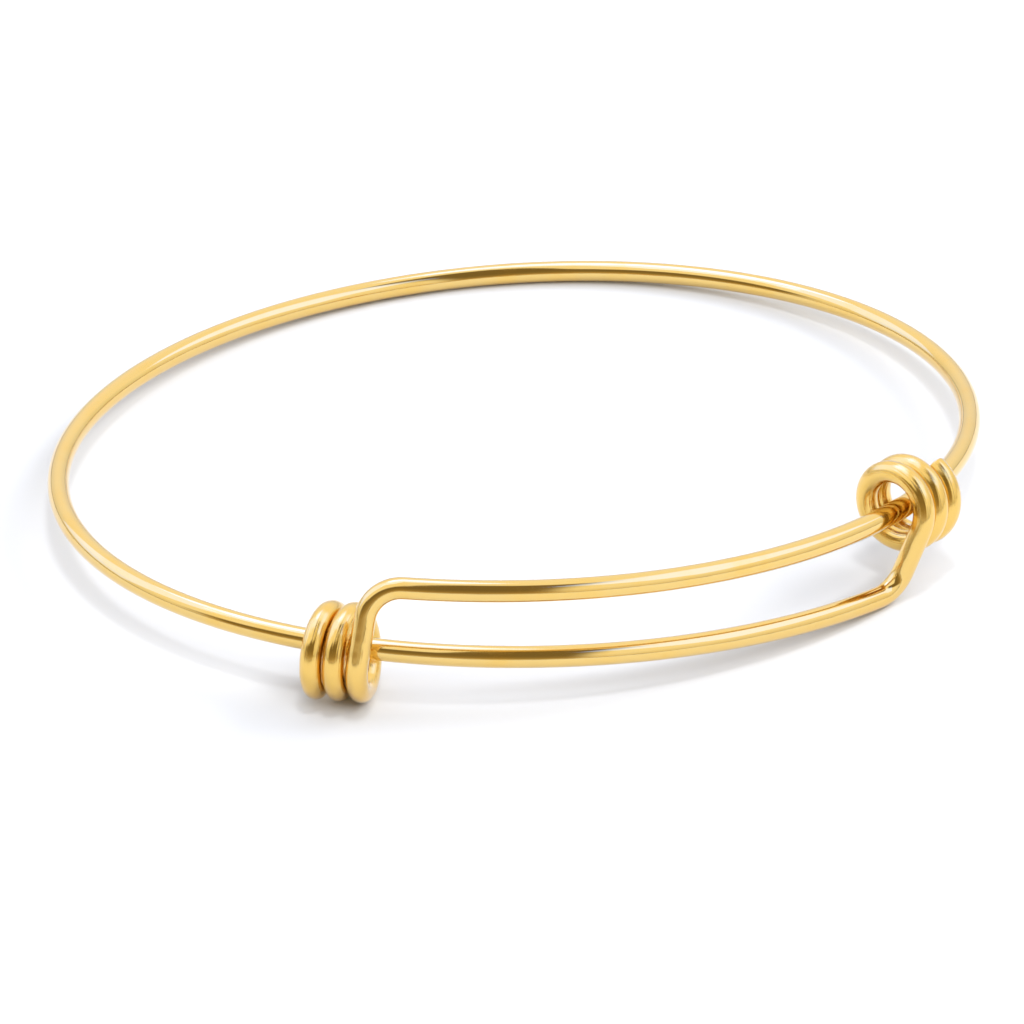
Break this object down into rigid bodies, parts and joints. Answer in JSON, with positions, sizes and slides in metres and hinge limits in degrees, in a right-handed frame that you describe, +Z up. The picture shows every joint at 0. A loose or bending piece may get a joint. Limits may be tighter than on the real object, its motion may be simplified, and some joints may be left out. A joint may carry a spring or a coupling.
{
  "type": "expandable wire bangle",
  "caption": "Polished gold-coloured bangle bent from round wire, its ends passing each other at the front and each coiled round the other run so it can slide wider.",
  "frame": {"origin": "middle of the bounding box, at the level of the table that the bangle lies on", "axes": "+Z up from the table, -Y toward the overlap of the two runs at the front, +X toward the right coil as seen from the front"},
  "size_m": [0.0658, 0.0568, 0.0098],
  "materials": {
    "gold_wire": "mirror-polished yellow gold plating"
  },
  "bodies": {
    "root": {"bangle_wire": "gold_wire"}
  },
  "joints": []
}
